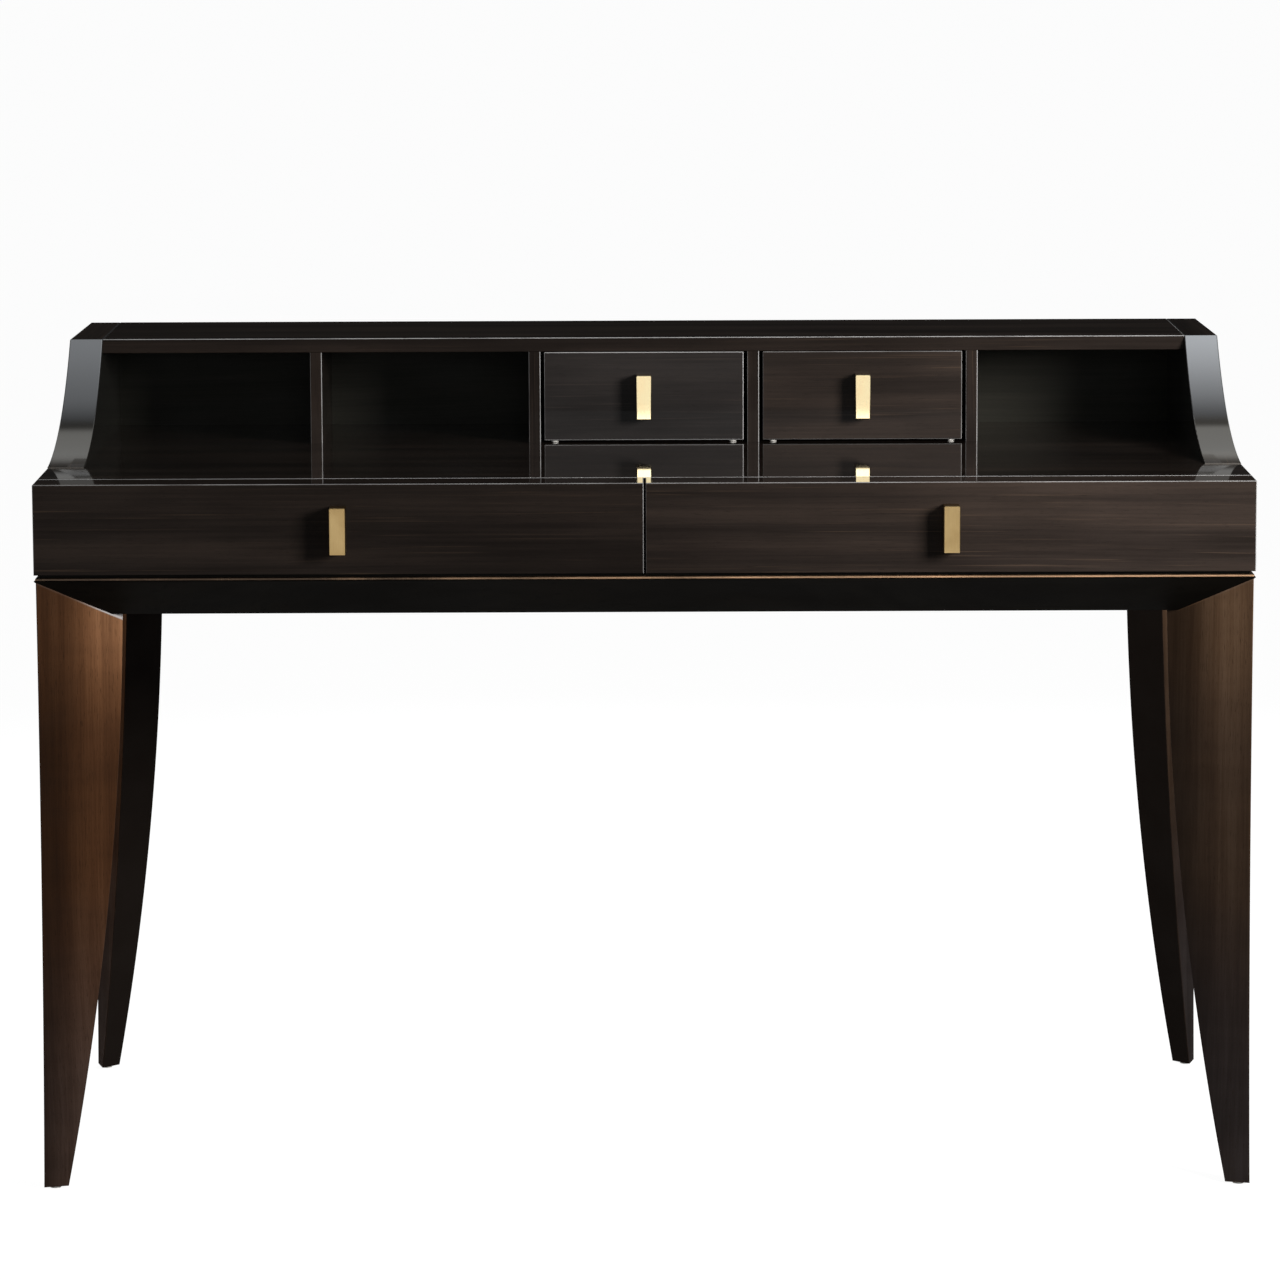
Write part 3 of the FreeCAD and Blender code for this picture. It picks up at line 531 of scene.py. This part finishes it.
across_face = make_face_group("across_face", "x")
depth_face = make_face_group("depth_face", "y")
wood_figure = make_figure_group()
edge_rub = make_edge_group()
painted_arris_highlight = make_arris_group()
dust_and_smears = make_dust_group()
brushed_metal = make_brush_group()


# Finishes

def new_finish(name):
    """An empty material with its shader."""
    material = bpy.data.materials.new(name)
    material.use_nodes = True
    tree = material.node_tree
    tree.nodes.clear()
    shader = add(tree, "ShaderNodeBsdfPrincipled")
    tree.links.new(shader.outputs[0], add(tree, "ShaderNodeOutputMaterial").inputs["Surface"])
    return material, tree, shader


def shader_of(material):
    """The shader of a finish made with new_finish."""
    return next(made for made in material.node_tree.nodes if made.type == "BSDF_PRINCIPLED")


def raise_grain(tree, shader, height, strength, distance):
    """Feeds a height into the shader's normal."""
    bump = add(tree, "ShaderNodeBump")
    bump.inputs["Strength"].default_value = strength
    bump.inputs["Distance"].default_value = distance
    feed(tree, bump.inputs["Height"], height)
    feed(tree, shader.inputs["Normal"], bump.outputs["Normal"])


def figured(tree, figure, bands, colours):
    """Colours laid along the bands and lines of a wood's figure."""
    mixed = weigh(tree, figure["Band"], bands, times(tree, figure["Line"], 1.0 - bands))
    return colour_ramp(tree, mixed, colours)


def streaked_wood(tree, face, tone, shades):
    """Colour of the dark streaked veneer, from its dark, middle, light and fleck shades."""
    laid = use_group(tree, face)["Vector"]
    figure = use_group(
        tree, wood_figure, vector=laid, bands=26.0, lines=270.0, pores=1700.0, length=1.3, wander=0.012
    )
    dark, middle, light, fleck = (tuple(value * tone for value in shade) for shade in shades)
    colour = figured(tree, figure, VENEER_BANDS, (dark, middle, light))
    flecked = blend_colour(tree, times(tree, figure["Fleck"], FLECK_SHARE), colour, fleck)
    return blend_colour(tree, times(tree, figure["Pore"], PORE_SHARE), flecked, dark)


def gloss_veneer(name, face, shades, tone, highlight, lower=0.0, middle=1.0, bend=LACQUER_BEND):
    """Dark streaked veneer under a mirror-gloss lacquer, whose index of refraction is bend.

    The arrises carry a painted highlight of the given strength, lower being the share of the lower ones. middle
    is the tone in the desk's middle, a painted shade.
    """
    material, tree, shader = new_finish(name)
    wood = streaked_wood(tree, face, tone, shades)
    marks = use_group(tree, dust_and_smears)
    level = weigh(tree, marks["Cloud"], SMEAR_TONE, SMEAR_TONE_LOW)
    # Painted shade, darker towards the middle of the desk
    if middle < 1.0:
        from_middle = size_of(tree, split(tree, place_of(tree))["X"])
        level = times(tree, level, ramp_range(tree, from_middle, 0.0, MIDDLE_SHADE_REACH, middle, 1.0))
    drifted = shaded(tree, wood, level)
    dusty = blend_colour(tree, times(tree, marks["Dust"], DUST_SHARE), drifted, DUST)
    # A painted highlight along the arrises
    arris_highlight = times(tree, use_group(tree, painted_arris_highlight, lower=lower)["Mask"], highlight)
    feed(tree, shader.inputs["Base Color"], blend_colour(tree, arris_highlight, dusty, ARRIS_HIGHLIGHT_GREY))
    feed(tree, shader.inputs["Metallic"], times(tree, arris_highlight, ARRIS_METAL))
    polish = weigh(tree, marks["Cloud"], LACQUER_SMEAR, LACQUER_SMOOTH)
    feed(tree, shader.inputs["Roughness"], weigh(tree, arris_highlight, ARRIS_ROUGHNESS, polish))
    shader.inputs["IOR"].default_value = bend
    return material


def top_veneer(name):
    """The desktop: streaked veneer under a deep mirror lacquer on its upper face."""
    material = gloss_veneer(name, across_face, WARM_VENEER, tone=1.1, highlight=0.9)
    tree = material.node_tree
    shader = shader_of(material)
    feed(tree, shader.inputs["Coat Weight"], ramp_range(tree, facing_of(tree)["Z"], 0.5, 0.9))
    shader.inputs["Coat IOR"].default_value = DESKTOP_COAT_BEND
    shader.inputs["Coat Roughness"].default_value = COAT_ROUGHNESS
    return material


def swept_front(tree, facing):
    """Mask of the gallery sides' swept front and rounded edges, without the flat faces and the nose."""
    tilted = ramp_range(tree, facing["Z"], 0.3, 0.6)
    front = times(tree, ramp_range(tree, facing["Y"], -0.1, -0.25), tilted)
    no_side = ramp_range(tree, size_of(tree, facing["X"]), *OFF_AXIS)
    no_top = ramp_range(tree, facing["Z"], *OFF_AXIS)
    no_rear = ramp_range(tree, facing["Y"], 0.5, 0.2)
    no_nose = ramp_range(tree, facing["Y"], -0.98, -0.9, 0.2, 1.0)
    edges = times(tree, times(tree, no_side, no_top), times(tree, no_rear, no_nose))
    return sum_up(tree, "MAXIMUM", front, edges)


def sweep_veneer(name):
    """The gallery sides: streaked veneer, greyer and glossier inside, and grey lacquer down the swept front."""
    material, tree, shader = new_finish(name)
    facing = facing_of(tree)
    place = split(tree, place_of(tree))
    outward = times(tree, facing["X"], sum_up(tree, "SIGN", place["X"]))
    inner = ramp_range(tree, outward, *INNER_FACING)
    brown = streaked_wood(tree, depth_face, SWEEP_TONE, WARM_VENEER)
    wood = blend_colour(tree, times(tree, inner, SWEEP_INSIDE_SHARE), brown, SWEEP_INSIDE)
    low = ramp_range(tree, place["Z"], *SWEEP_TURN)
    lacquer = blend_colour(tree, low, SWEEP_LACQUER, SWEEP_LACQUER_LOW)
    polished = swept_front(tree, facing)
    feed(tree, shader.inputs["Base Color"], blend_colour(tree, polished, wood, lacquer))
    feed(tree, shader.inputs["Metallic"], times(tree, polished, SWEEP_METAL))
    cloud = use_group(tree, dust_and_smears)["Cloud"]
    polish = weigh(tree, cloud, LACQUER_SMEAR, LACQUER_SMOOTH)
    feed(tree, shader.inputs["Roughness"], weigh(tree, polished, SWEEP_ROUGHNESS, polish))
    feed(tree, shader.inputs["Coat Weight"], inner)
    shader.inputs["IOR"].default_value = LACQUER_BEND
    shader.inputs["Coat IOR"].default_value = SWEEP_COAT_BEND
    shader.inputs["Coat Roughness"].default_value = COAT_ROUGHNESS
    return material


def by_leg(tree, right, pair):
    """The value of the left or right legs, by the mask of the right ones."""
    return ramp_range(tree, right, 0.0, 1.0, *pair)


def leg_painted_light(tree, place, right):
    """Mask of the painted highlight on the legs' heads near the apron, and the whole leg's painted level of
    light.

    A leg is painted dim on one side of a line down its face and bright on the other. The right foot is painted
    dimmer.
    """
    x, _, z = split(tree, place)
    inset = minus(tree, x, by_leg(tree, right, LEG_LINES))
    strayed = times(tree, ramp_range(tree, z, *FOOT_SHIFT_HEIGHTS), by_leg(tree, right, FOOT_SHIFTS))
    margin = minus(tree, plus(tree, inset, strayed), times(tree, right, LEG_RIGHT_SHIFT))
    painted_sides = ramp_range(tree, margin, *LEG_LINE_FADE, *LEG_PAINTED_SHADES)
    painted_foot_shade = times(tree, right, ramp_range(tree, z, *RIGHT_FOOT_HEIGHTS, 0.0, RIGHT_FOOT_PAINTED_SHADE))
    painted_body = times(tree, painted_sides, minus(tree, 1.0, painted_foot_shade))
    # Painted highlight on each leg's head, near the apron
    near_line = ramp_range(tree, inset, *HEAD_HIGHLIGHT_FADE, HEAD_HIGHLIGHT_DIM, 1.0)
    near_apron = ramp_range(tree, z, *HEAD_HIGHLIGHT_HEIGHTS)
    head_highlight = times(tree, times(tree, near_line, near_apron), by_leg(tree, right, HEAD_HIGHLIGHT_SHARES))
    curl = ramp_range(tree, noise(tree, stretched(tree, place, *CURL_SCALE)), 0.3, 0.7, *CURL_LEVELS)
    return head_highlight, times(tree, weigh(tree, head_highlight, HEAD_HIGHLIGHT_GAIN, painted_body), curl)


def leg_tint(tree, z, right, head_highlight):
    """The legs' tint: cooler on the right, most at the waist, greyer at the foot and hazy near the apron.

    The darker, cooler right legs are painted shade, and the haze is the tint of the painted highlight.
    """
    waist = times(tree, ramp_range(tree, z, *WAIST_TOP_HEIGHTS), ramp_range(tree, z, *WAIST_FOOT_HEIGHTS))
    sided = blend_colour(tree, right, LEFT_TINT, RIGHT_SHADE_TINT)
    cooled = blend_colour(tree, times(tree, right, waist), sided, WAIST_TINT, "MULTIPLY")
    greyed = blend_colour(tree, ramp_range(tree, z, *GREY_HEIGHTS), cooled, GREY_TINT, "MULTIPLY")
    return blend_colour(tree, head_highlight, greyed, HEAD_HIGHLIGHT_TINT, "MULTIPLY")


def leg_inside(tree, x, from_middle):
    """Mask of the leg faces that look towards the middle of the desk."""
    facing = facing_of(tree)
    across = times(tree, facing["X"], sum_up(tree, "SIGN", x))
    along = times(tree, facing["Y"], sum_up(tree, "SIGN", from_middle))
    return ramp_range(tree, plus(tree, across, along), *INNER_FACING)


def leg_rim_highlight(tree, z, from_middle):
    """Mask of the thin painted highlight along which a leg meets the apron's bevel."""
    inwards = minus(tree, desk_half_depth, size_of(tree, from_middle))
    below = minus(tree, apron_high.z, z)
    from_bevel = minus(tree, times(tree, below, bevel_across), times(tree, inwards, bevel_down))
    return ramp_range(tree, from_bevel, *RIM_EDGE)


def walnut_leg(name):
    """Walnut with upright grain, satin in front and dull behind, with black inner faces and painted light and
    shade.
    """
    material, tree, shader = new_finish(name)
    place = place_of(tree)
    x, y, z = split(tree, place)
    own = times(tree, add(tree, "ShaderNodeObjectInfo").outputs["Random"], LEG_GRAIN_SPREAD)
    upright = vector_of(tree, plus(tree, z, own), x, y)
    figure = use_group(tree, wood_figure, vector=upright, bands=55.0, pores=1700.0, length=2.2)
    right = ramp_range(tree, x, -LEG_SPLIT, LEG_SPLIT)
    # The leg's light and shade are painted into its colour
    head_highlight, level = leg_painted_light(tree, place, right)
    wood = figured(tree, figure, BOARD_BANDS, WALNUT)
    toned = blend_colour(tree, 1.0, wood, leg_tint(tree, z, right, head_highlight), "MULTIPLY")
    lit = shaded(tree, toned, level)
    porous = blend_colour(tree, times(tree, figure["Pore"], LEG_PORE_SHARE), lit, LEG_PORE)
    from_middle = minus(tree, y, desk_middle_y)
    inner = leg_inside(tree, x, from_middle)
    stained = blend_colour(tree, inner, porous, LEG_BLACK)
    edge = use_group(tree, edge_rub, reach=0.0022, break_up=35.0)["Mask"]
    worn = blend_colour(tree, times(tree, edge, LEG_EDGE_SHARE), stained, LEG_WORN)
    # A painted highlight line where the leg meets the apron's bevel
    rim_highlight = times(tree, leg_rim_highlight(tree, z, from_middle), times(tree, head_highlight, head_highlight))
    lined = blend_colour(tree, times(tree, rim_highlight, by_leg(tree, right, RIM_SHARES)), worn, RIM_HIGHLIGHT_GREY)
    feed(tree, shader.inputs["Base Color"], lined)
    cloud = use_group(tree, dust_and_smears, smear=8.0)["Cloud"]
    satin = weigh(tree, cloud, SATIN_SMEAR, LEG_SATIN)
    dull = sum_up(tree, "MAXIMUM", inner, ramp_range(tree, y, *REAR_LEGS_Y))
    feed(tree, shader.inputs["Roughness"], weigh(tree, dull, LEG_DULL, satin))
    shader.inputs["Specular IOR Level"].default_value = LEG_SPECULAR
    raise_grain(tree, shader, figure["Height"], LEG_GRAIN, BOARD_GRAIN_DEPTH)
    return material


def plain_wood(name, face, shades, roughness, specular, bands=60.0):
    """A sawn board with a thin finish."""
    material, tree, shader = new_finish(name)
    figure = use_group(tree, wood_figure, vector=use_group(tree, face)["Vector"], bands=bands)
    wood = figured(tree, figure, BOARD_BANDS, shades)
    porous = blend_colour(tree, times(tree, figure["Pore"], PORE_SHARE), wood, shades[0])
    edge = use_group(tree, edge_rub)["Mask"]
    worn = blend_colour(tree, times(tree, edge, BOARD_EDGE_SHARE), porous, shades[2])
    feed(tree, shader.inputs["Base Color"], worn)
    cloud = use_group(tree, dust_and_smears, smear=9.0)["Cloud"]
    feed(tree, shader.inputs["Roughness"], weigh(tree, cloud, SATIN_SMEAR, roughness))
    shader.inputs["Specular IOR Level"].default_value = specular
    raise_grain(tree, shader, figure["Height"], BOARD_GRAIN, BOARD_GRAIN_DEPTH)
    return material


def gallery_board(name):
    """The gallery back: a dark olive stain inside the bays, with streaked veneer behind."""
    material = plain_wood(name, across_face, OLIVE_STAIN, roughness=0.35, specular=0.05)
    tree = material.node_tree
    shade = shader_of(material).inputs["Base Color"]
    behind = ramp_range(tree, facing_of(tree)["Y"], 0.2, 0.6)
    veneer = streaked_wood(tree, across_face, 1.0, WARM_VENEER)
    feed(tree, shade, blend_colour(tree, behind, shade.links[0].from_socket, veneer))
    return material


def brushed(name, metal, roughness, patch=40.0, right_light=0.0):
    """Brushed metal with a soft patina, in patches per metre, which can be painted lighter towards the right."""
    material, tree, shader = new_finish(name)
    tarnished, clean = metal
    brush = use_group(tree, brushed_metal, patch=patch)
    mixed = weigh(tree, brush["Line"], BRUSH_LINES, times(tree, brush["Patch"], 1.0 - BRUSH_LINES))
    # Painted light, lighter towards the right
    if right_light:
        across = split(tree, place_of(tree))["X"]
        mixed = plus(tree, mixed, ramp_range(tree, across, -RIGHT_LIGHT_REACH, RIGHT_LIGHT_REACH, -right_light, right_light))
    tone = blend_colour(tree, mixed, tarnished, clean)
    edge = use_group(tree, edge_rub, reach=0.0012, break_up=120.0)["Mask"]
    rubbed = blend_colour(tree, times(tree, edge, METAL_EDGE_SHARE), tone, clean)
    feed(tree, shader.inputs["Base Color"], rubbed)
    shader.inputs["Metallic"].default_value = 1.0
    feed(tree, shader.inputs["Roughness"], weigh(tree, brush["Line"], BRUSH_ROUGHNESS, roughness))
    raise_grain(tree, shader, brush["Height"], BRUSH_RELIEF, BRUSH_DEPTH)
    return material


def moulded(name, shades):
    """Moulded nylon with a fine grain."""
    material, tree, shader = new_finish(name)
    grain = noise(tree, place_of(tree), NYLON_GRAINS)
    feed(tree, shader.inputs["Base Color"], blend_colour(tree, grain, *shades))
    feed(tree, shader.inputs["Roughness"], weigh(tree, grain, NYLON_ROUGHNESS, NYLON_SMOOTH))
    raise_grain(tree, shader, grain, NYLON_RELIEF, NYLON_DEPTH)
    return material


veneer_depth = gloss_veneer("veneer_depth", depth_face, WARM_VENEER, tone=0.8, highlight=0.85)
veneer_sweep = sweep_veneer("veneer_sweep")
lit_gallery_brass = brushed("lit_gallery_brass", LIT_GALLERY_BRASS, 0.07)

PIECE_FINISH = {
    "desktop": top_veneer("veneer_top"),
    "case_side_left": veneer_depth,
    "case_side_right": veneer_depth,
    "case_back": gloss_veneer("veneer_back", across_face, WARM_VENEER, tone=1.0, highlight=0.5),
    # The left drawer's veneer is a darker copy of the right one's: painted shade
    "left_drawer_front": gloss_veneer(
        "veneer_left_shaded", across_face, WARM_VENEER, tone=0.87, highlight=0.5, middle=0.62
    ),
    "right_drawer_front": gloss_veneer(
        "veneer_across", across_face, WARM_VENEER, tone=1.1, highlight=0.5, middle=0.65
    ),
    "gallery_side_left": veneer_sweep,
    "gallery_side_right": veneer_sweep,
    "gallery_shelf": gloss_veneer("veneer_shelf", across_face, WARM_VENEER, tone=0.75, highlight=0.85),
    "gallery_back": gallery_board("back_board"),
    "divider_1": veneer_depth,
    "divider_2": veneer_depth,
    "divider_3": veneer_depth,
    "divider_4": veneer_depth,
    "gallery_drawer_middle_front": gloss_veneer(
        "veneer_middle", across_face, COOL_VENEER, tone=1.0, highlight=1.0, lower=0.7, bend=DRAWER_BEND
    ),
    "gallery_drawer_right_front": gloss_veneer(
        "veneer_right", across_face, WARM_VENEER, tone=0.92, highlight=0.4, lower=0.6, bend=DRAWER_BEND
    ),
    "gallery_drawer_middle_pull": lit_gallery_brass,
    "gallery_drawer_right_pull": lit_gallery_brass,
}
SLOT_FINISH = {
    "dark_apron": plain_wood("apron_wood", across_face, APRON_STAIN_AND_SHADE, roughness=0.42, specular=0.012),
    "walnut": walnut_leg("walnut_leg"),
    "dark_board": plain_wood("inside_board", across_face, BLACK_STAIN, roughness=0.5, specular=0.05),
    "drawer_wood": plain_wood("drawer_maple", depth_face, MAPLE, roughness=0.42, specular=0.35),
    "hardwood": plain_wood("hard_beech", depth_face, BEECH, roughness=0.45, specular=0.35, bands=120.0),
    "brass": brushed("case_brass", CASE_BRASS, 0.28),
    "bronze": brushed("bead_bronze", BEAD_BRONZE, 0.5, patch=7.0, right_light=0.45),
    "steel": brushed("zinc_steel", ZINC, 0.35),
    "nylon": moulded("pale_nylon", NYLON),
}

for subpart in frame["record"]["subparts"]:
    node = subpart["node"]
    finish = PIECE_FINISH[node] if node in PIECE_FINISH else SLOT_FINISH[subpart["material_slot"]]
    piece = frame["nodes"][node]
    piece.data.materials.clear()
    piece.data.materials.append(finish)


# Floor, light and camera

def make_floor():
    """A wide pale floor that keeps the desk's shadow."""
    bpy.ops.mesh.primitive_circle_add(
        vertices=128, radius=FLOOR_RADIUS, fill_type="NGON", location=(0.0, 0.0, -FLOOR_DROP)
    )
    floor = bpy.context.object
    floor.name = "studio_floor"
    material = bpy.data.materials.new("pale_floor")
    material.use_nodes = True
    tree = material.node_tree
    tree.nodes.clear()
    matt = add(tree, "ShaderNodeBsdfDiffuse")
    feed(tree, matt.inputs["Color"], FLOOR_COLOUR)
    glow = add(tree, "ShaderNodeEmission")
    feed(tree, glow.inputs["Color"], (1.0, 1.0, 1.0))
    path = add(tree, "ShaderNodeLightPath").outputs
    mirrored = plus(tree, path["Is Glossy Ray"], path["Is Transmission Ray"])
    seen = sum_up(tree, "MINIMUM", plus(tree, path["Is Camera Ray"], mirrored), 1.0)
    feed(tree, glow.inputs["Strength"], times(tree, seen, FLOOR_GLOW))
    both = add(tree, "ShaderNodeAddShader")
    tree.links.new(matt.outputs[0], both.inputs[0])
    tree.links.new(glow.outputs[0], both.inputs[1])
    tree.links.new(both.outputs[0], add(tree, "ShaderNodeOutputMaterial").inputs["Surface"])
    floor.data.materials.append(material)


def make_dome():
    """Soft studio light: a ceiling brightest in front on the right, a rear wall and a low window in front."""
    world = bpy.data.worlds.new("studio_dome")
    bpy.context.scene.world = world
    world.use_nodes = True
    tree = world.node_tree
    tree.nodes.clear()
    x, y, z = split(tree, add(tree, "ShaderNodeTexCoord").outputs["Generated"])
    in_front = ramp_range(tree, x, *CEILING_X, CEILING_LEFT, CEILING_RIGHT)
    ceiling = ramp_range(tree, y, *CEILING_Y, in_front, CEILING_BACK)
    overhead = times(tree, ceiling, ramp_range(tree, z, *CEILING_Z, BELOW_CEILING, 1.0))
    rear = ramp_range(tree, z, *REAR_Z, REAR_LOW, REAR_HIGH)
    room = ramp_range(tree, ramp_range(tree, y, *REAR_Y), 0.0, 1.0, overhead, rear)
    corner = times(tree, ramp_range(tree, y, *CORNER_FRONT_Y), ramp_range(tree, y, *CORNER_BACK_Y))
    level = times(tree, room, minus(tree, 1.0, times(tree, corner, CORNER_LOSS)))
    band = times(tree, ramp_range(tree, z, *WINDOW_SILL_Z), ramp_range(tree, z, *WINDOW_HEAD_Z))
    bright = times(tree, band, ramp_range(tree, x, *WINDOW_X, WINDOW_LEFT, WINDOW_RIGHT))
    window = times(tree, bright, ramp_range(tree, y, *WINDOW_Y))
    sky = add(tree, "ShaderNodeBackground")
    feed(tree, sky.inputs["Color"], COOL_LIGHT)
    feed(tree, sky.inputs["Strength"], plus(tree, level, window))
    tree.links.new(sky.outputs[0], add(tree, "ShaderNodeOutputWorld").inputs["Surface"])


def softbox(name, place, target, width, height, radiance, spread, colour):
    """A rectangular lamp of about the given radiance, where 1 is white, that mirrors don't show."""
    lamp = bpy.data.lights.new(name, "AREA")
    lamp.shape = "RECTANGLE"
    lamp.size = width
    lamp.size_y = height
    lamp.energy = radiance * math.pi * width * height
    lamp.spread = math.radians(spread)
    lamp.color = colour
    lit = bpy.data.objects.new(name, lamp)
    bpy.context.scene.collection.objects.link(lit)
    lit.location = place
    lit.rotation_euler = (Vector(target) - Vector(place)).to_track_quat("-Z", "Y").to_euler()
    lit.visible_glossy = False


def make_camera():
    """The camera of the photograph."""
    camera = bpy.data.objects.new("photo_camera", bpy.data.cameras.new("photo_camera"))
    bpy.context.scene.collection.objects.link(camera)
    camera.data.sensor_width = SENSOR
    camera.data.lens = SENSOR * CAMERA_FOCAL / PHOTO_WIDTH
    camera.data.clip_end = CAMERA_REACH
    front_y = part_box("left_drawer_front")[0].y
    stand = Matrix.Translation((CAMERA_SIDE, front_y - CAMERA_BACK, CAMERA_HEIGHT))
    tilt = Euler((math.radians(90.0 - CAMERA_DOWN), 0.0, 0.0)).to_matrix().to_4x4()
    roll = Matrix.Rotation(math.radians(-CAMERA_ROLL), 4, "Z")
    camera.matrix_world = stand @ tilt @ roll
    bpy.context.scene.camera = camera


make_floor()
make_dome()
for lamp in LAMPS:
    softbox(*lamp)
make_camera()
bpy.context.scene.view_settings.view_transform = "Standard"
